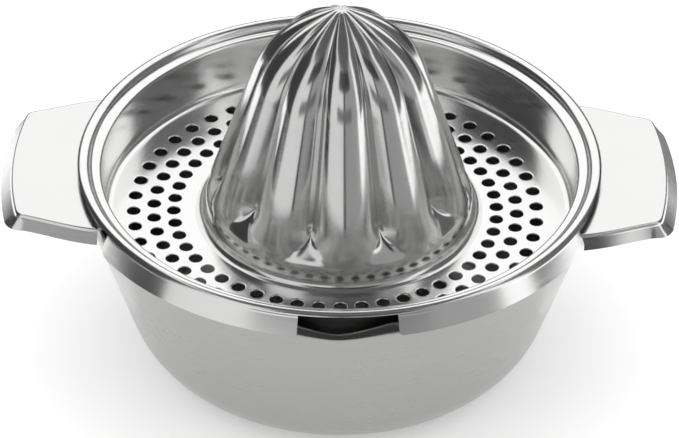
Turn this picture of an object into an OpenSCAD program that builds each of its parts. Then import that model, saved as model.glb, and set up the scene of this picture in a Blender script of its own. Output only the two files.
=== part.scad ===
// Hand citrus juicer: a drawn steel bowl with two handles, and a loose strainer
// with a fluted reamer that sits on it.
// Frame: the axis of the bowl is Z, the underside of the bowl is z = 0,
// the handles point along X and the two pouring lips along Y.

/* [Bowl] */
// Outer diameter of the bowl at its rim
bowl_d = 136.4; // [136:0.1:137]
// Height of the bowl's rim above the underside
bowl_h = 55.5; // [55:0.1:56]
// Diameter of the flat underside
base_d = 70; // [68:0.5:72]
// Outer radius of the round between the underside and the wall
base_round = 22; // [20:0.5:24]
// Slope of the wall, in degrees from upright
wall_slope = 18.2; // [17.8:0.1:20]
// Thickness of the bowl's sheet
bowl_t = 0.6; // [0.5:0.1:0.8]
// Width of a pouring lip
lip_w = 26; // [20:1:32]
// Depth of a pouring lip below the rim
lip_drop = 2.8; // [1:0.1:4]

/* [Handles] */
// Distance across the two handles, end to end
handle_span = 177.6; // [170:0.2:184]
// Width of a handle where it leaves the bowl
handle_root_w = 60; // [50:1:64]
// Width of a handle between its outer corners
handle_tip_w = 47; // [38:1:50]
// Depth of the turned-down edge
handle_drop = 4.2; // [3:0.1:5]
// How far the outer edge slopes outward as it turns down
handle_lean = 2.7; // [1:0.1:3.5]
// Thickness of a handle's sheet
handle_t = 0.8; // [0.6:0.1:1]

/* [Strainer] */
// Height of the perforated floor's upper face above the underside of the bowl
floor_z = 42.4; // [40:0.2:44]
// Inner diameter of the strainer's wall at the floor
well_d = 123.8; // [122:0.2:124.4]
// Height of the skirt's lower edge above the floor
skirt_low = 11.2; // [9:0.1:12.5]
// How far the skirt flares out below the bead
skirt_flare = 2; // [1:0.1:3]
// Width of the gap in the skirt over each pouring lip, in degrees
lip_gap = 21; // [12:1.5:30]
// Width of the gap in the skirt around each handle, in degrees
handle_gap = 57; // [54:1.5:60]
// Thickness of the strainer's sheet
strainer_t = 0.5; // [0.4:0.1:0.6]
// Number of holes in each ring
ring_holes = 48; // [24:12:60]
// Diameter of a hole
hole_d = 3.5; // [2:0.1:3.8]
// Radius of the middle ring of holes
ring_mid = 48; // [46:0.5:50]
// Distance between the rings of holes
ring_step = 5.3; // [4.6:0.1:5.4]
// How far the rings are punched to one side of the strainer's axis
ring_shift = -1; // [-1:0.1:1]
// Angle by which the loose strainer is turned in the bowl, in degrees
strainer_turn = 2.2; // [-2.2:0.1:2.2]

/* [Reamer] */
// Number of lobes round the reamer
lobes = 10; // [8:2:12]
// Height of the reamer's nose above the floor
reamer_h = 63; // [56:1:68]
// Diameter of the reamer's foot where it meets the floor
foot_d = 76; // [74:0.5:76]
// Depth of the grooves between lobes, as a share of the radius
groove = 0.17; // [0.1:0.01:0.17]
// Angle between the bowl's front and the lobe nearest it, in degrees
reamer_turn = 3.7; // [-4:0.1:4]

/* [Hidden] */
$fn = 96;
eps = 0.01;
steel = "#b9b9b6";
bright_steel = "#d8d8d6";

bowl_r = bowl_d / 2;
bend_steps = 12;
lip_round = 2.5;
lip_steps = 24;
lip_reach = 4;
// How far a cutting shape runs past what it cuts.
over = 1;

// Handles: the plate lies on the bowl's rim and reaches a little inside it.
handle_z = bowl_h + handle_t;
handle_lap = 3.6;
handle_root_x = bowl_r - 6;
handle_corner_r = 3;
handle_tip_bulge = 2.6;
handle_side_bulge = 0.9;
handle_side_lean = 0.7;
weld_gap = 0.05;

// Strainer rim, seen in section: wall, shoulder, groove, bead and skirt.
wall_lean = 0.6;
well_round = 2.2;
shoulder_r = 1;
hollow_r = 1.5;
bead_r = 1.8;
hollow_turn = 70;
bead_end = 35;
skirt_start = 15;
rest_gap = 0.4;
ledge_z = handle_z + rest_gap + strainer_t;
shoulder_x = well_d / 2 + wall_lean + shoulder_r;
ledge_w = 0.6;
hollow_x = shoulder_x + ledge_w;
skirt_cut_in = 0.2;

// Reamer: a straight flank from the collar, then one curve to the nose. The curve's
// two pulls are [radius, depth below the nose].
foot_round = 2.6;
collar_in = 2.8;
collar_top = 6.2;
flank_top = 41;
flank_share = 0.618;
flank_pull = [20, 10];
nose_pull = [11, 4.5];
nose_r = 2;
dimple = 0.4;
tip_low = 6.2;
tip_length = 7;
tip_sharp = 0.02;
groove_low = 5.2;
groove_rise = 9;
flute_points = 10;

// Points along an arc, from angle a to angle b in n steps.
function arc(x, z, r, a, b, n) =
    [for (i = [0:n]) let (t = a + (b - a) * i / n) [x + r * cos(t), z + r * sin(t)]];

function bezier(a, b, c, d, t) =
    pow(1 - t, 3) * a + 3 * t * pow(1 - t, 2) * b + 3 * t * t * (1 - t) * c + pow(t, 3) * d;

function smooth(t) = let (u = min(1, max(0, t))) u * u * (3 - 2 * u);

function reversed(list) = [for (i = [len(list) - 1:-1:0]) list[i]];

// ---------------------------------------------------------------- bowl

// Section of the bowl's outer face, moved inward by the distance "inset".
function bowl_face(inset) =
    let (
        r = base_round - inset,
        bend = arc(base_d / 2, base_round, r, -90, -wall_slope, bend_steps),
        band_r = bowl_r - inset,
        band_z = bend[bend_steps].y + (band_r - bend[bend_steps].x) / tan(wall_slope)
    )
    concat([[0, inset]], bend, [[band_r, band_z], [band_r, bowl_h]]);

// Outline of what a pouring lip takes off the rim, seen along Y: a V with a round
// bottom.
module lip_outline() {
    half = lip_w / 2;
    wide = norm([half, lip_round]);
    curve = [for (i = [0:lip_steps])
        let (
            x = lip_w * (i / lip_steps - 0.5),
            share = (wide - norm([x, lip_round])) / (wide - lip_round)
        )
        [x, bowl_h - lip_drop * share]];
    polygon(concat(curve, [[half, bowl_h + over], [-half, bowl_h + over]]));
}

module bowl() {
    color(steel)
    difference() {
        rotate_extrude()
            polygon(concat(bowl_face(0), reversed(bowl_face(bowl_t))));
        for (side = [0, 180])
            rotate([90, 0, side])
                translate([0, 0, bowl_r - lip_reach])
                    linear_extrude(lip_reach + over)
                        lip_outline();
    }
}

// ---------------------------------------------------------------- handles

// Plan of a handle that points along +X. "grow" widens the two sides and
// "reach" moves the outer edge out.
module handle_plan(grow, reach) {
    tip_x = handle_span / 2 - handle_lean + reach;
    tip_y = handle_tip_w / 2 + grow;
    root_y = handle_root_w / 2 + grow;
    back_x = handle_root_x - 3 * handle_corner_r;
    corner_x = tip_x - handle_tip_bulge;
    mid_x = (handle_root_x + corner_x) / 2;
    mid_y = (root_y + tip_y) / 2 + handle_side_bulge;
    tip_r = (pow(tip_y, 2) + pow(handle_tip_bulge, 2)) / (2 * handle_tip_bulge);
    offset(r = handle_corner_r)
        offset(r = -handle_corner_r)
            intersection() {
                polygon([
                    [back_x, -root_y], [handle_root_x, -root_y], [mid_x, -mid_y],
                    [corner_x, -tip_y], [tip_x + over, -tip_y],
                    [tip_x + over, tip_y], [corner_x, tip_y],
                    [mid_x, mid_y], [handle_root_x, root_y], [back_x, root_y]
                ]);
                translate([tip_x - tip_r, 0])
                    circle(r = tip_r, $fn = 240);
            }
}

// Solid block of a handle between its turned-down edge and its plate.
module handle_block(inset, low, high) {
    hull() {
        translate([0, 0, low])
            linear_extrude(eps)
                handle_plan(handle_side_lean - inset, handle_lean - inset);
        translate([0, 0, high - eps])
            linear_extrude(eps)
                handle_plan(-inset, -inset);
    }
}

module handle() {
    low = handle_z - handle_drop;
    difference() {
        handle_block(0, low, handle_z);
        handle_block(handle_t, low - eps, handle_z - handle_t);
        cylinder(r = bowl_r + weld_gap, h = bowl_h);
        cylinder(r = bowl_r - handle_lap, h = handle_z + over);
    }
}

module handle_left() {
    color(bright_steel)
        mirror([1, 0, 0])
            handle();
}

module handle_right() {
    color(bright_steel)
        handle();
}

// ---------------------------------------------------------------- strainer

// The bead's centre, seen in section.
function bead_centre() =
    let (join = -90 + hollow_turn, reach = hollow_r + bead_r)
    [hollow_x + reach * cos(join), ledge_z + hollow_r + reach * sin(join)];

// Section of the strainer's upper face, from the reamer's foot to the skirt's
// hem, moved down and outward by the distance "under".
function strainer_face(under) =
    let (
        join = -90 + hollow_turn,
        bead = bead_centre(),
        side = arc(bead.x, bead.y, bead_r - under, 180 + join, skirt_start, 14)
    )
    concat(
        [[foot_d / 2, floor_z - under]],
        arc(well_d / 2 - well_round, floor_z + well_round, well_round + under, -90, 0, 8),
        arc(shoulder_x, ledge_z - shoulder_r, shoulder_r - under, 180, 90, 6),
        arc(hollow_x, ledge_z + hollow_r, hollow_r + under, -90, join, 6),
        side,
        [[bead.x + bead_r + skirt_flare - under, floor_z + skirt_low]]
    );

module strainer_holes() {
    pitch = 360 / ring_holes;
    for (ring = [-1:1], i = [0:ring_holes - 1])
        rotate([0, 0, pitch * (i + (ring == 0 ? 0.5 : 0))])
            translate([ring_mid + ring * ring_step, 0])
                cylinder(d = hole_d, h = 2 * over, $fn = 32);
}

// What a gap in the skirt takes away, over "width" degrees centred on +X.
module skirt_gap(width) {
    bead = bead_centre();
    low = floor_z + skirt_low - over;
    high = bead.y + bead_r * sin(bead_end);
    rotate([0, 0, -width / 2])
        rotate_extrude(angle = width)
            translate([bead.x + skirt_cut_in, low])
                square([bead_r + skirt_flare + over, high - low]);
}

module strainer() {
    color(bright_steel)
    rotate([0, 0, strainer_turn])
    difference() {
        rotate_extrude()
            polygon(concat(strainer_face(0), reversed(strainer_face(strainer_t))));
        translate([ring_shift, 0, floor_z - over])
            strainer_holes();
        for (side = [0, 180]) {
            rotate([0, 0, side])
                skirt_gap(handle_gap);
            rotate([0, 0, side + 90])
                skirt_gap(lip_gap);
        }
    }
}

// ---------------------------------------------------------------- reamer

// Section through the crest of a lobe, from the foot up to the nose, as
// [radius, height above the floor].
function crest() =
    let (
        foot_r = foot_d / 2,
        collar = [foot_r - collar_in, collar_top],
        top = [foot_r * flank_share, flank_top],
        above = [flank_pull.x, reamer_h - flank_pull.y],
        beside = [nose_pull.x, reamer_h - nose_pull.y],
        steps = 10
    )
    concat(
        arc(foot_r, foot_round, foot_round, -90, -170, 5),
        [for (i = [0:steps - 2]) collar + (top - collar) * pow(i / (steps - 2), 1.5)],
        [for (i = [1:steps]) bezier(top, above, beside, [nose_r, reamer_h], i / steps)]
    );

// Radius across a lobe as a share of its crest's. The section is an arc, from the
// crest at u = 0 to the groove at u = 1.
function lobe_face(u) =
    let (
        half = 180 / lobes,
        low = 1 - groove,
        centre = (1 - low * low) / (1 - low * cos(half)) / 2,
        side = centre * sin(half * u)
    )
    centre * cos(half * u) + sqrt(pow(1 - centre, 2) - side * side);

// Radius of the fluted face at one crest point and one angle. A lobe narrows to a
// round tip at its lower end.
function fluted(point, angle) =
    let (
        turns = angle * lobes / 360,
        tip = min(1, max(0, 1 - (point.y - tip_low) / tip_length)),
        wide = max(tip_sharp, sqrt(1 - tip * tip)),
        u = min(1, abs(2 * (turns - round(turns))) / wide),
        deep = smooth((point.y - groove_low) / groove_rise)
    )
    point.x * (1 - deep * (1 - lobe_face(u)));

// Rings of points on the fluted face, moved inward by the distance "inset".
function fluted_rings(inset) =
    let (count = lobes * flute_points)
    [for (p = crest())
        [for (i = [0:count - 1])
            let (a = 360 * i / count, r = fluted(p, a) - inset)
            [r * cos(a), r * sin(a), floor_z + p.y - inset]]];

module reamer() {
    count = lobes * flute_points;
    outside = fluted_rings(0);
    inside = fluted_rings(strainer_t);
    rows = len(outside);
    points = concat(
        [for (ring = outside) each ring],
        [for (ring = inside) each ring],
        [[0, 0, floor_z + reamer_h - dimple], [0, 0, floor_z + reamer_h - dimple - strainer_t]]
    );
    shift = rows * count;
    tip_out = 2 * shift;
    tip_in = tip_out + 1;
    last_row = (rows - 1) * count;
    faces = concat(
        [for (row = [0:rows - 2], i = [0:count - 1])
            let (a = row * count + i, b = row * count + (i + 1) % count)
            each [[a, a + count, b + count], [a, b + count, b]]],
        [for (row = [0:rows - 2], i = [0:count - 1])
            let (a = shift + row * count + i, b = shift + row * count + (i + 1) % count)
            each [[a, b + count, a + count], [a, b, b + count]]],
        [for (i = [0:count - 1])
            let (j = (i + 1) % count)
            each [
                [last_row + i, tip_out, last_row + j],
                [shift + last_row + i, shift + last_row + j, tip_in],
                [i, j, shift + j],
                [i, shift + j, shift + i]
            ]]
    );
    color(bright_steel)
        rotate([0, 0, reamer_turn - 90])
            polyhedron(points, faces);
}

bowl();
handle_left();
handle_right();
strainer();
reamer();
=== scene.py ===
import math

import bpy
import numpy as np
from mathutils import Matrix, Vector


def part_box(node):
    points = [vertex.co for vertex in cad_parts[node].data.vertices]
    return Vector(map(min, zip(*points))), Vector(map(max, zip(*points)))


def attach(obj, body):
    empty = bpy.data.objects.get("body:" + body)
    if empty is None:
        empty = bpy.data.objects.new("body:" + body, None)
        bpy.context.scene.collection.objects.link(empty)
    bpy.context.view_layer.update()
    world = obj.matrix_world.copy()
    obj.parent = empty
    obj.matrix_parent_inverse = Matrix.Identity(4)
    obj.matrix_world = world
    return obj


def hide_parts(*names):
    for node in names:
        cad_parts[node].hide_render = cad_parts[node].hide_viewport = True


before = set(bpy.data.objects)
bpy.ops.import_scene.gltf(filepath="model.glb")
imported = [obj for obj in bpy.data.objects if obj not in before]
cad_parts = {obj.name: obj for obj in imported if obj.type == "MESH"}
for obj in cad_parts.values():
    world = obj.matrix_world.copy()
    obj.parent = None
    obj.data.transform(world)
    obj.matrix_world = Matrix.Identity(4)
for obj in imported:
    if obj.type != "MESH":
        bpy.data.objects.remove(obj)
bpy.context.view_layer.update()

MM = 0.001

# ------------------------------------------------------------------ sizes
# Lengths are millimetres and angles degrees, as in the CAD model. The main
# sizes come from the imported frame.

RIM_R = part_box("bowl")[1][0] / MM
RIM_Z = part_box("bowl")[1][2] / MM
NOSE_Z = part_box("reamer")[1][2] / MM
FOOT_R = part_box("reamer")[1][1] / MM
HANDLE_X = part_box("handle_right")[1][0] / MM
HANDLE_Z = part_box("handle_right")[1][2] / MM
HANDLE_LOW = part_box("handle_right")[0][2] / MM

STRAINER_SHEET = 0.5
FLOOR_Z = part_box("reamer")[0][2] / MM + STRAINER_SHEET

BOWL_SHEET = 0.6
BOWL_COLUMNS = 720
BASE_R = 35.0
BASE_ROUND = 22.0
WALL_SLOPE = 18.2
LIP_HALF = 13.0
LIP_DROP = 2.8
LIP_ROUND = 2.5
# How far below the rim the sheet still follows a lip.
LIP_REACH = 12.0

STRAINER_TURN = 2.2
WELL_R = 61.9
WELL_ROUND = 2.2
WALL_LEAN = 0.6
REST_GAP = 0.4
LEDGE_Z = HANDLE_Z + REST_GAP + STRAINER_SHEET
LEDGE = 0.6
SHOULDER = 1.0
HOLLOW = 1.5
BEAD = 1.8
HOLLOW_TURN = 70.0
BEAD_END = 35.0
SKIRT_START = 15.0
SKIRT_FLARE = 2.0
SKIRT_LOW = FLOOR_Z + 11.2
RING_HOLES = 48
RING_MID = 48.0
RING_STEP = 5.3
RING_SHIFT = -1.0
HOLE_R = 1.75
COLUMNS = 480
HANDLE_GAP = 57.0
LIP_GAP = 21.0
# Rounds at the skirt's lower corners, beside a handle and beside a lip.
HANDLE_CORNER = 2.2
LIP_CORNER = 1.0

LOBES = 10
LOBE_COLUMNS = 48
GROOVE = 0.17
GROOVE_LOW = 5.2
GROOVE_RISE = 9.0
TIP_LOW = 6.2
TIP_LENGTH = 7.0
TIP_NARROW = 0.02
TIP_BLEND = 0.9
REAMER_TURN = 3.7
FOOT_ROUND = 2.6
COLLAR_IN = 2.8
COLLAR_TOP = 6.2
FLANK_TOP = 41.0
FLANK_SHARE = 0.618
FLANK_PULL = (20.0, 10.0)
NOSE_PULL = (11.0, 4.5)
NOSE_R = 1.6
DIMPLE = 0.4

HANDLE_SHEET = 0.8
HANDLE_LEAN = 2.7
HANDLE_SIDE_LEAN = 0.7
HANDLE_TIP_Y = 23.5
HANDLE_ROOT_X = RIM_R - 6
HANDLE_ROOT_Y = 30.0
HANDLE_BULGE = 2.6
HANDLE_FOLD = 0.9
# The plate's inner edge: how far it laps the rim, and its half width there.
HANDLE_LAP = 3.6
HANDLE_LAP_Y = 29.0


# ------------------------------------------------------------------ helpers

def arc(x, z, r, a, b, steps):
    """Points of an arc in a section, as rows of (radius, height)."""
    t = np.radians(np.linspace(a, b, steps + 1))
    return np.stack([x + r * np.cos(t), z + r * np.sin(t)], axis=1)


def bezier(a, b, c, d, steps):
    """Points of a cubic curve in a section, without its first point."""
    t = np.linspace(0, 1, steps + 1)[1:, None]
    a, b, c, d = (np.array(p, dtype=float) for p in (a, b, c, d))
    return (1 - t) ** 3 * a + 3 * t * (1 - t) ** 2 * b + 3 * t * t * (1 - t) * c + t ** 3 * d


def line(a, b, steps):
    """Points from a to b, with both ends."""
    t = np.linspace(0, 1, steps + 1)[:, None]
    return np.array(a, dtype=float) * (1 - t) + np.array(b, dtype=float) * t


def smooth(t):
    """0 below 0, 1 above 1, and a smooth step between."""
    t = np.clip(t, 0, 1)
    return t * t * (3 - 2 * t)


def soft_limit(value, blend):
    """The value, held below 1, with a bend of the given width instead of a corner."""
    share = np.clip(0.5 + 0.5 * (1 - value) / blend, 0, 1)
    return 1 + (value - 1) * share - blend * share * (1 - share)


class Sheet:
    """Collects points and faces in millimetres, then becomes one mesh."""

    def __init__(self):
        self.points = []
        self.faces = []
        self.count = 0

    def grid(self, rows, closed=False, flip=False):
        """Adds rows of points as a grid. closed joins each row's last point to its first."""
        rows = np.asarray(rows, dtype=float)
        m, n = rows.shape[:2]
        index = self.count + np.arange(m * n).reshape(m, n)
        self.points.append(rows.reshape(-1, 3))
        self.count += m * n
        after = np.roll(index, -1, axis=1)
        last = n if closed else n - 1
        quads = np.stack([index[:-1], after[:-1], after[1:], index[1:]], axis=-1)[:, :last]
        quads = quads.reshape(-1, 4)
        self.faces += (quads[:, ::-1] if flip else quads).tolist()

    def fan(self, tip, ring, flip=False):
        """Closes a ring of points with triangles to one tip."""
        ring = np.asarray(ring, dtype=float)
        n = len(ring)
        self.points.append(np.vstack([ring, tip]))
        start, top = self.count, self.count + n
        self.count += n + 1
        for i in range(n):
            face = [start + i, start + (i + 1) % n, top]
            self.faces.append(face[::-1] if flip else face)

    def weld(self):
        """Merges points that share a place, and drops faces that shrink to nothing."""
        points = np.vstack(self.points)
        _, first, index = np.unique(np.round(points, 3), axis=0, return_index=True,
                                    return_inverse=True)
        index = index.reshape(-1)
        faces = []
        for face in self.faces:
            corners = []
            for i in index[face].tolist():
                if i not in corners:
                    corners.append(i)
            if len(corners) > 2:
                faces.append(corners)
        return points[first], faces

    def thicken(self, points, faces, thickness):
        """Gives a surface a second face behind it and walls along its open edges."""
        loops = np.array([face + face[:4 - len(face)] for face in faces])
        corners = points[loops]
        normal = np.cross(corners[:, 2] - corners[:, 0], corners[:, 3] - corners[:, 1])
        tri = np.array([len(face) == 3 for face in faces])
        flat = np.cross(corners[tri, 1] - corners[tri, 0], corners[tri, 2] - corners[tri, 0])
        normal[tri] = flat
        size = np.linalg.norm(normal, axis=1)
        normal /= np.maximum(size, 1e-12)[:, None]
        total = np.zeros_like(points)
        for k in range(4):
            use = ~tri if k == 3 else np.ones(len(faces), dtype=bool)
            np.add.at(total, loops[use, k], normal[use])
        total /= np.maximum(np.linalg.norm(total, axis=1), 1e-12)[:, None]
        back = points - total * thickness
        count = len(points)
        edges = {}
        for face in faces:
            for a, b in zip(face, face[1:] + face[:1]):
                edges[a, b] = edges.get((a, b), 0) + 1
        walls = [[b, a, a + count, b + count] for a, b in edges if (b, a) not in edges]
        behind = [[i + count for i in face[::-1]] for face in faces]
        return np.vstack([points, back]), faces + behind + walls

    def mesh(self, name, turn=0.0, thickness=0.0, sharp=50.0):
        """Makes the object, turned about Z. Edges sharper than sharp degrees stay sharp."""
        points, faces = self.weld()
        if thickness:
            points, faces = self.thicken(points, faces, thickness)
        data = bpy.data.meshes.new(name)
        data.from_pydata((points * MM).tolist(), [], faces)
        data.transform(Matrix.Rotation(math.radians(turn), 4, "Z"))
        data.shade_smooth()
        data.set_sharp_from_angle(angle=math.radians(sharp))
        obj = bpy.data.objects.new(name, data)
        bpy.context.collection.objects.link(obj)
        return obj


def revolve(profile, degrees):
    """Rows of 3-D points from section points (radius, height) at each angle."""
    t = np.radians(degrees)
    r = profile[:, 0][:, None]
    z = np.repeat(profile[:, 1][:, None], len(t), axis=1)
    return np.stack([r * np.cos(t), r * np.sin(t), z], axis=-1)


# ------------------------------------------------------------------ materials

def steel(name, color, roughness, grain, scale, direction, smudge=0.04):
    """Stainless steel. grain is the depth of its scratches, which run along direction
    ("round" the Z axis, or along "x"), and smudge how much its gloss varies."""
    mat = bpy.data.materials.new(name)
    mat.use_nodes = True
    nodes, links = mat.node_tree.nodes, mat.node_tree.links
    shader = nodes["Principled BSDF"]
    shader.inputs["Metallic"].default_value = 1.0
    place = nodes.new("ShaderNodeTexCoord")

    def maths(op, a, b=None):
        node = nodes.new("ShaderNodeMath")
        node.operation = op
        for socket, value in zip(node.inputs, (a, b)):
            if value is None:
                continue
            if isinstance(value, (int, float)):
                socket.default_value = value
            else:
                links.new(value, socket)
        return node.outputs[0]

    split = nodes.new("ShaderNodeSeparateXYZ")
    links.new(place.outputs["Object"], split.inputs[0])
    x, y, z = split.outputs
    if direction == "round":
        radius = maths("SQRT", maths("ADD", maths("MULTIPLY", x, x), maths("MULTIPLY", y, y)))
        joined = nodes.new("ShaderNodeCombineXYZ")
        links.new(radius, joined.inputs[0])
        links.new(maths("MULTIPLY", maths("ARCTAN2", y, x), 0.002), joined.inputs[1])
        links.new(z, joined.inputs[2])
    else:
        joined = nodes.new("ShaderNodeCombineXYZ")
        links.new(maths("MULTIPLY", x, 0.03), joined.inputs[0])
        links.new(y, joined.inputs[1])
        links.new(z, joined.inputs[2])

    def noise(size, detail, vector):
        node = nodes.new("ShaderNodeTexNoise")
        node.inputs["Scale"].default_value = size
        node.inputs["Detail"].default_value = detail
        links.new(vector, node.inputs["Vector"])
        return node.outputs["Fac"]

    def spread(value, low, high):
        node = nodes.new("ShaderNodeMapRange")
        node.inputs["From Min"].default_value = 0.3
        node.inputs["From Max"].default_value = 0.7
        node.inputs["To Min"].default_value = low
        node.inputs["To Max"].default_value = high
        links.new(value, node.inputs["Value"])
        return node.outputs[0]

    scratches = noise(scale, 6.0, joined.outputs[0])
    clouds = noise(45.0, 4.0, place.outputs["Object"])
    gloss = maths("ADD", spread(scratches, roughness - 0.02, roughness + 0.02),
                  spread(clouds, -smudge, smudge))
    links.new(maths("MAXIMUM", gloss, 0.03), shader.inputs["Roughness"])
    tint = nodes.new("ShaderNodeMix")
    tint.data_type = "RGBA"
    tint.inputs["A"].default_value = [c * 0.985 for c in color] + [1]
    tint.inputs["B"].default_value = [min(1.0, c * 1.015) for c in color] + [1]
    links.new(spread(clouds, 0.0, 1.0), tint.inputs["Factor"])
    links.new(tint.outputs["Result"], shader.inputs["Base Color"])
    bump = nodes.new("ShaderNodeBump")
    bump.inputs["Strength"].default_value = 1.0
    bump.inputs["Distance"].default_value = grain * MM
    links.new(scratches, bump.inputs["Height"])
    links.new(bump.outputs["Normal"], shader.inputs["Normal"])
    return mat


# ------------------------------------------------------------------ bowl

def bowl_section(inset, steps):
    """The bowl's outer face from the axis to the rim, moved in by inset."""
    bend = arc(BASE_R, BASE_ROUND, BASE_ROUND - inset, -90, -WALL_SLOPE, steps)
    r, z = bend[-1]
    band_r = RIM_R - inset
    band_z = z + (band_r - r) / math.tan(math.radians(WALL_SLOPE))
    return np.vstack([
        line((1.0, inset), (BASE_R, inset), 12),
        bend[1:],
        line(bend[-1], (band_r, band_z), 24)[1:],
        line((band_r, band_z), (band_r, RIM_Z), 6)[1:],
    ])


def make_bowl():
    """The drawn bowl: outer face, round rim edge, inner face, and the two lips."""
    outer = bowl_section(0.0, 24)
    inner = bowl_section(BOWL_SHEET, 24)
    half = BOWL_SHEET / 2
    edge = arc(RIM_R - half, RIM_Z - half, half, 0, 180, 8)
    outer = outer[outer[:, 1] < RIM_Z - half]
    inner = inner[inner[:, 1] < RIM_Z - half]
    section = np.vstack([outer, edge, inner[::-1]])
    degrees = np.arange(BOWL_COLUMNS) * 360 / BOWL_COLUMNS
    rows = revolve(section, degrees)
    across = np.abs(rows[..., 0])
    wide = math.hypot(LIP_HALF, LIP_ROUND)
    near = (wide - np.hypot(across, LIP_ROUND)) / (wide - LIP_ROUND)
    depth = LIP_DROP * np.clip(near, 0, 1)
    depth = np.where(np.abs(rows[..., 1]) > RIM_R / 2, depth, 0)
    reach = np.clip((rows[..., 2] - (RIM_Z - LIP_REACH)) / LIP_REACH, 0, 1)
    rows[..., 2] -= depth * reach ** 2
    sheet = Sheet()
    sheet.grid(rows, closed=True)
    sheet.fan((0, 0, 0), rows[0], flip=True)
    sheet.fan((0, 0, BOWL_SHEET), rows[-1])
    return sheet.mesh("bowl_shell")


# ------------------------------------------------------------------ strainer

def bead_centre():
    """The centre of the rim's bead, in section."""
    hollow_x = WELL_R + WALL_LEAN + SHOULDER + LEDGE
    t = math.radians(HOLLOW_TURN - 90)
    return np.array([hollow_x + (HOLLOW + BEAD) * math.cos(t),
                     LEDGE_Z + HOLLOW + (HOLLOW + BEAD) * math.sin(t)])


def strainer_section():
    """The strainer's upper face from the holes' outer margin to the bead's edge."""
    shoulder_x = WELL_R + WALL_LEAN + SHOULDER
    hollow_x = shoulder_x + LEDGE
    bead = bead_centre()
    wall_foot = arc(WELL_R - WELL_ROUND, FLOOR_Z + WELL_ROUND, WELL_ROUND, -90, 0, 10)
    shoulder = arc(shoulder_x, LEDGE_Z - SHOULDER, SHOULDER, 180, 90, 10)
    hollow = arc(hollow_x, LEDGE_Z + HOLLOW, HOLLOW, -90, HOLLOW_TURN - 90, 10)
    crest = arc(*bead, BEAD, HOLLOW_TURN + 90, BEAD_END, 20)
    return np.vstack([
        line((RING_MID + 1.5 * RING_STEP, FLOOR_Z), wall_foot[0], 4),
        wall_foot[1:],
        line(wall_foot[-1], shoulder[0], 14)[1:],
        shoulder[1:], hollow, crest[1:],
    ])


def hole_cell(sheet, radius, centre):
    """One cell of the floor, with a hole whose edge is rolled slightly down."""
    pitch = 360 / RING_HOLES
    low, high = radius - RING_STEP / 2, radius + RING_STEP / 2
    turns = np.linspace(centre - pitch / 2, centre + pitch / 2, 11)
    radii = np.linspace(low, high, 7)
    border = (
        [(low, a) for a in turns[:-1]]
        + [(r, turns[-1]) for r in radii[:-1]]
        + [(high, a) for a in turns[:0:-1]]
        + [(r, turns[0]) for r in radii[:0:-1]]
    )
    border = np.array([[r * math.cos(math.radians(a)), r * math.sin(math.radians(a))]
                       for r, a in border])
    mid_turn = math.radians(centre)
    middle = radius * np.array([math.cos(mid_turn), math.sin(mid_turn)])
    t = np.radians(centre + np.concatenate([
        np.linspace(225, 135, 11)[:-1], np.linspace(135, 45, 7)[:-1],
        np.linspace(45, -45, 11)[:-1], np.linspace(-45, -135, 7)[:-1],
    ]))
    around = np.stack([np.cos(t), np.sin(t)], axis=1)
    rolled = [(HOLE_R, 0.16), (HOLE_R + 0.05, 0.07), (HOLE_R + 0.13, 0.02), (HOLE_R + 0.28, 0.0)]
    rows = [np.column_stack([middle + r * around, np.full(len(t), FLOOR_Z - drop)])
            for r, drop in rolled]
    rim = rows[-1][:, :2]
    for share in (0.35, 0.7, 1.0):
        flat = rim * (1 - share) + border * share
        rows.append(np.column_stack([flat, np.full(len(t), FLOOR_Z)]))
    sheet.grid(rows, closed=True)


def skirt_length(sheet, first, last, corner_first, corner_last):
    """One length of the skirt, between two columns of the strainer's grid."""
    bead = bead_centre()
    hem = np.array([bead[0] + BEAD + SKIRT_FLARE, SKIRT_LOW])
    side = arc(*bead, BEAD, BEAD_END, SKIRT_START, 5)
    section = np.vstack([side, line(side[-1], hem, 26)[1:]])
    step = 360 / COLUMNS
    share = np.linspace(0, 1, last - first + 1)
    rows = []
    for r, z in section:
        trims = []
        for corner in (corner_first, corner_last):
            near = max(0.0, corner - math.hypot(*(hem - (r, z))))
            trims.append(math.degrees((corner - math.sqrt(corner ** 2 - near ** 2)) / r))
        a, b = first * step + trims[0], last * step - trims[1]
        t = np.radians(a + (b - a) * share)
        rows.append(np.column_stack([r * np.cos(t), r * np.sin(t), np.full(len(t), z)]))
    sheet.grid(rows, flip=True)


def shift_rings(points):
    """Moves the holes, but not the floor's two edges, to one side of the axis."""
    radius = np.hypot(points[:, 0], points[:, 1])
    share = smooth((radius - FOOT_R) / 2.5) * smooth((WELL_R - WELL_ROUND - radius) / 2.5)
    points[:, 0] += RING_SHIFT * share * (points[:, 2] < FLOOR_Z + 0.01)
    return points


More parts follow.
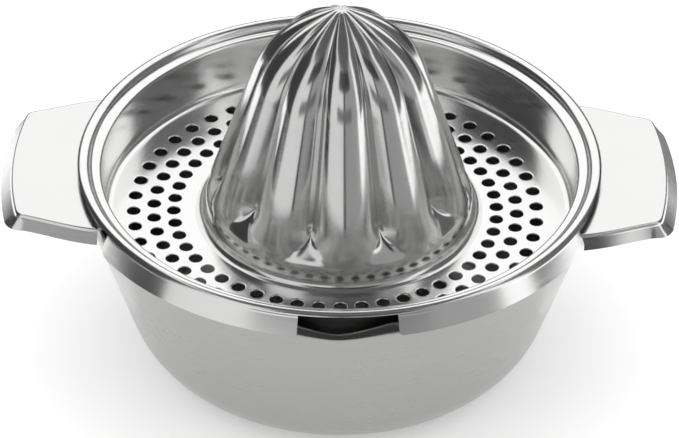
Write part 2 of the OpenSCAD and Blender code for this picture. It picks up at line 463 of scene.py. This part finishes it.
def make_strainer():
    """The strainer: perforated floor, wall, shoulder, bead and four lengths of skirt."""
    degrees = np.arange(COLUMNS) * 360 / COLUMNS
    sheet = Sheet()
    inner = line((FOOT_R, FLOOR_Z), (RING_MID - 1.5 * RING_STEP, FLOOR_Z), 4)
    sheet.grid(revolve(inner, degrees), closed=True, flip=True)
    sheet.grid(revolve(strainer_section(), degrees), closed=True, flip=True)
    pitch = 360 / RING_HOLES
    for ring in (-1, 0, 1):
        for i in range(RING_HOLES):
            shift = 0.5 if ring == 0 else 0.0
            hole_cell(sheet, RING_MID + ring * RING_STEP, pitch * (i + shift))
    half_handle = round(HANDLE_GAP / 2 / 360 * COLUMNS)
    half_lip = round(LIP_GAP / 2 / 360 * COLUMNS)
    quarter = COLUMNS // 4
    for turn in (0, 2):
        start = turn * quarter
        skirt_length(sheet, start + half_handle, start + quarter - half_lip,
                     HANDLE_CORNER, LIP_CORNER)
        start += quarter
        skirt_length(sheet, start + half_lip, start + quarter - half_handle,
                     LIP_CORNER, HANDLE_CORNER)
    sheet.points = [shift_rings(points) for points in sheet.points]
    return sheet.mesh("strainer_sheet", turn=STRAINER_TURN, thickness=STRAINER_SHEET)


# ------------------------------------------------------------------ reamer

def reamer_section():
    """The crest of a lobe from foot to nose, as (radius, height above the floor)."""
    nose_h = NOSE_Z - FLOOR_Z
    foot = arc(FOOT_R, FOOT_ROUND, FOOT_ROUND, -90, -170, 14)
    collar = np.array((FOOT_R - COLLAR_IN, COLLAR_TOP))
    top = np.array((FOOT_R * FLANK_SHARE, FLANK_TOP))
    start = collar + (top - collar) * 0.1
    return np.vstack([
        foot,
        bezier(foot[-1], (foot[-1][0] - 0.15, 3.4), collar, start, 14),
        line(start, top, 44)[1:],
        bezier(top, (FLANK_PULL[0], nose_h - FLANK_PULL[1]),
               (NOSE_PULL[0], nose_h - NOSE_PULL[1]), (NOSE_R, nose_h), 40),
    ])


def lobe_face(u):
    """Radius across a lobe as a share of its crest's: an arc from the crest, u = 0, to the
    groove, u = 1."""
    half = math.radians(180 / LOBES)
    low = 1 - GROOVE
    centre = (1 - low * low) / (1 - low * math.cos(half)) / 2
    side = centre * np.sin(half * u)
    return centre * np.cos(half * u) + np.sqrt((1 - centre) ** 2 - side ** 2)


def make_reamer():
    """The fluted cone: rounded lobes, with round lower ends, and narrow grooves."""
    columns = LOBES * LOBE_COLUMNS
    degrees = np.arange(columns) * 360 / columns
    t = np.radians(degrees)
    turns = degrees * LOBES / 360
    u = np.abs(2 * (turns - np.round(turns)))
    rows = []
    for r, h in reamer_section():
        deep = float(smooth((h - GROOVE_LOW) / GROOVE_RISE))
        tip = min(1.0, max(0.0, 1 - (h - TIP_LOW) / TIP_LENGTH))
        width = max(TIP_NARROW, math.sqrt(1 - tip ** 2))
        blend = TIP_BLEND * (1 - width) + 0.001
        radius = r * (1 - deep * (1 - lobe_face(soft_limit(u / width, blend))))
        rows.append(np.column_stack([radius * np.cos(t), radius * np.sin(t),
                                     np.full(columns, FLOOR_Z + h)]))
    sheet = Sheet()
    sheet.grid(rows, closed=True)
    sheet.fan((0, 0, NOSE_Z - DIMPLE), rows[-1])
    return sheet.mesh("reamer_cone", turn=REAMER_TURN - 90, thickness=STRAINER_SHEET)


# ------------------------------------------------------------------ handles

def handle_edge():
    """Half of the plate's outline for y >= 0, from the root to the middle of the outer
    edge, as rows of (x, y, lean), where lean is how far the edge slopes outward."""
    tip_x = HANDLE_X - HANDLE_LEAN
    root = (HANDLE_ROOT_X, HANDLE_ROOT_Y)
    corner_x = tip_x - HANDLE_BULGE
    tip_r = (HANDLE_TIP_Y ** 2 + HANDLE_BULGE ** 2) / (2 * HANDLE_BULGE)
    side = bezier(root, (root[0] + 8, root[1] - 1.2), (corner_x - 8, HANDLE_TIP_Y + 2.2),
                  (corner_x, HANDLE_TIP_Y), 60)
    side = np.vstack([root, side])
    reach = math.degrees(math.asin(HANDLE_TIP_Y / tip_r))
    end = arc(tip_x - tip_r, 0, tip_r, reach, 0, 60)
    outline = np.vstack([side, end[1:]])
    # Round the corner by averaging along the outline near it.
    length = np.concatenate([[0], np.cumsum(np.hypot(*np.diff(outline, axis=0).T))])
    even = np.linspace(0, length[-1], 400)
    x = np.interp(even, length, outline[:, 0])
    y = np.interp(even, length, outline[:, 1])
    corner = length[60]
    for _ in range(220):
        near = np.exp(-((even - corner) / 3.0) ** 2)[1:-1]
        x[1:-1] += near * 0.5 * ((x[:-2] + x[2:]) / 2 - x[1:-1])
        y[1:-1] += near * 0.5 * ((y[:-2] + y[2:]) / 2 - y[1:-1])
    end_share = smooth((even - corner + 3.0) / 6.0)
    lean = HANDLE_SIDE_LEAN + (HANDLE_LEAN - HANDLE_SIDE_LEAN) * end_share
    return np.column_stack([x, y, lean])


def make_handle(name, side):
    """A pressed tray: a flat plate, a tight fold and a turned-down edge."""
    half = handle_edge()[::-1][::3][::-1]
    whole = np.vstack([half, half[-2::-1] * (1, -1, 1)])
    path, lean = whole[:, :2], whole[:, 2]
    along = np.gradient(path, axis=0)
    along /= np.linalg.norm(along, axis=1)[:, None]
    out = np.stack([-along[:, 1], along[:, 0]], axis=1)
    drop = HANDLE_Z - HANDLE_LOW
    count = len(path)
    # Plate: from an arc just inside the rim out to the fold.
    lap_r = RIM_R - HANDLE_LAP
    limit = math.asin(HANDLE_LAP_Y / lap_r)
    t = np.linspace(limit, -limit, count)
    inner = np.stack([lap_r * np.cos(t), lap_r * np.sin(t)], axis=1)
    start = path - out * HANDLE_FOLD
    rows = []
    for share in np.linspace(0, 1, 26):
        flat = inner * (1 - share) + start * share
        rows.append(np.column_stack([flat, np.full(count, HANDLE_Z)]))
    for a in np.radians(np.arange(10, 90, 10)):
        flat = start + out * HANDLE_FOLD * math.sin(a)
        z = HANDLE_Z - HANDLE_FOLD * (1 - math.cos(a))
        rows.append(np.column_stack([flat, np.full(count, z)]))
    for share in np.linspace(0, 1, 13):
        flat = path + out * (lean * share)[:, None]
        z = HANDLE_Z - HANDLE_FOLD - (drop - HANDLE_FOLD) * share
        rows.append(np.column_stack([flat, np.full(count, z)]))
    rows = np.array(rows)
    if side < 0:
        rows[..., 0] *= -1
    sheet = Sheet()
    sheet.grid(rows, flip=side < 0)
    return sheet.mesh(name, thickness=HANDLE_SHEET)


# ------------------------------------------------------------------ stage

def glow(name, strength):
    """A matt black material that gives off an even grey light."""
    mat = bpy.data.materials.new(name)
    mat.use_nodes = True
    shader = mat.node_tree.nodes["Principled BSDF"]
    shader.inputs["Base Color"].default_value = (0, 0, 0, 1)
    shader.inputs["Roughness"].default_value = 1.0
    shader.inputs["Specular IOR Level"].default_value = 0.0
    shader.inputs["Emission Color"].default_value = (1, 1, 1, 1)
    shader.inputs["Emission Strength"].default_value = strength
    return mat


def make_card(name, turns, path, strength):
    """A curved studio card round the juicer. turns are its two ends in degrees round the
    juicer, 0 in front and 90 at the right. path is its section, as (radius, height)."""
    a = np.radians(np.linspace(*turns, 25))
    r, z = path[:, 0][:, None], path[:, 1][:, None]
    points = np.stack([np.sin(a) * r, -np.cos(a) * r, np.repeat(z, len(a), axis=1)], axis=-1)
    sheet = Sheet()
    sheet.grid(points)
    card = sheet.mesh(name)
    card.data.materials.append(glow(name, strength))
    card.visible_camera = False
    card.visible_shadow = False
    card.visible_diffuse = False


FLOOR_HALF = 3.0
CARD_LEVEL = 56.0
CARD_DISTANCE = 450.0
# Standing cards: ends in degrees round the juicer, then lower and upper edge in degrees
# above the strainer's level, then strength.
CARDS = [
    ("card_top", (-180, 180), (60, 90), 0.12),
    ("card_far_left", (-130, -66), (-3, 55), 0.05),
    ("card_left", (-66, -3), (-7, 61), 0.80),
    ("card_line", (-3, 4), (-7, 61), 0.01),
    ("card_right", (4, 62), (-7, 61), 0.36),
    ("card_far_right", (76, 130), (-3, 55), 0.14),
    ("card_back", (112, 248), (-5, 14), 0.06),
    ("card_camera", (-32, 38), (40, 60), 0.04),
    ("card_band", (-32, 34), (9, 22), 0.16),
]
# Cards that lie on the floor: ends in degrees, inner and outer radius, strength.
FLOOR_CARDS = [
    ("card_floor_front", (-26, 48), (100, 445), 0.05),
    ("card_floor_left", (-56, -26), (105, 440), 0.33),
    ("card_floor_far_left", (-98, -60), (150, 640), 0.05),
    ("card_floor_back_left", (-172, -138), (105, 440), 0.25),
    ("card_floor_back_right", (126, 172), (105, 440), 0.25),
    ("card_floor_glow_left", (-124, -84), (66, 94), 1.15),
    ("card_floor_glow_right", (84, 124), (66, 94), 1.15),
]


def make_stage():
    """A pale floor, soft even light, and grey cards for the steel to reflect."""
    world = bpy.data.worlds.new("studio")
    bpy.context.scene.world = world
    world.use_nodes = True
    world.node_tree.nodes["Background"].inputs["Color"].default_value = (1, 1, 1, 1)
    world.node_tree.nodes["Background"].inputs["Strength"].default_value = 1.15
    bpy.context.scene.view_settings.view_transform = "Standard"

    data = bpy.data.meshes.new("floor")
    corners = [(-1, -1), (1, -1), (1, 1), (-1, 1)]
    points = [(FLOOR_HALF * x, FLOOR_HALF * y, 0) for x, y in corners]
    data.from_pydata(points, [], [(0, 1, 2, 3)])
    floor = bpy.data.objects.new("floor", data)
    bpy.context.collection.objects.link(floor)
    mat = bpy.data.materials.new("floor_paper")
    mat.use_nodes = True
    shader = mat.node_tree.nodes["Principled BSDF"]
    shader.inputs["Base Color"].default_value = (0.93, 0.93, 0.93, 1)
    shader.inputs["Roughness"].default_value = 0.9
    shader.inputs["Specular IOR Level"].default_value = 0.2
    shader.inputs["Emission Color"].default_value = (1, 1, 1, 1)
    shader.inputs["Emission Strength"].default_value = 0.22
    data.materials.append(mat)
    for number, (name, turns, edges, strength) in enumerate(CARDS):
        path = arc(0, CARD_LEVEL, CARD_DISTANCE - 5 * number, *edges, 12)
        make_card(name, turns, path, strength)
    for number, (name, turns, edges, strength) in enumerate(FLOOR_CARDS):
        level = 1 + 0.2 * number
        path = line((edges[0], level), (edges[1], level), 6)
        make_card(name, turns, path, strength)


CAMERA_RISE = 36.0
CAMERA_ROLL = 0.69
CAMERA_DISTANCE = 1.1338


def make_camera():
    """A view from the front and above, with a long lens, aimed at the strainer's floor."""
    data = bpy.data.cameras.new("camera")
    cam = bpy.data.objects.new("camera", data)
    bpy.context.collection.objects.link(cam)
    elevation = math.radians(CAMERA_RISE)
    roll = math.radians(CAMERA_ROLL)
    back = Vector((0, -math.cos(elevation), math.sin(elevation)))
    cam.location = Vector((0, 0, FLOOR_Z * MM)) + back * CAMERA_DISTANCE
    turn = back.to_track_quat("Z", "Y").to_matrix().to_4x4() @ Matrix.Rotation(roll, 4, "Z")
    cam.matrix_world = Matrix.Translation(cam.location) @ turn
    data.sensor_width = 36.0
    data.lens = 227.2
    data.shift_x = 0.0007
    data.shift_y = -0.0156
    data.clip_end = 50
    bpy.context.scene.camera = cam


# ------------------------------------------------------------------ assembly

make_camera()
make_stage()

# The bowl's steel gets a base colour about half that of the other parts. This is painted shade:
# it darkens the bowl's reflection of the white floor to grey. Its satin finish is only the
# higher roughness.
satin_painted_shade = steel("satin_steel_painted_shade_look", (0.41, 0.41, 0.405), 0.26, 0.002, 900, "round", 0.01)
brushed = steel("handle_steel_look", (0.80, 0.80, 0.795), 0.2, 0.002, 900, "x", 0.03)
polished = steel("polished_steel_look", (0.86, 0.86, 0.855), 0.19, 0.001, 700, "round", 0.02)
fluted = steel("reamer_steel_look", (0.76, 0.76, 0.755), 0.17, 0.001, 500, "round", 0.02)

PIECES = [
    (make_bowl(), "bowl", "bowl", "satin_steel", satin_painted_shade),
    (make_handle("handle_left_tray", -1), "bowl", "handle_left", "handle_steel", brushed),
    (make_handle("handle_right_tray", 1), "bowl", "handle_right", "handle_steel", brushed),
    (make_strainer(), "strainer", "strainer", "polished_steel", polished),
    (make_reamer(), "strainer", "reamer", "reamer_steel", fluted),
]
for piece, body, node, slot, material in PIECES:
    piece.data.materials.append(material)
    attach(piece, body)
    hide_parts(node)
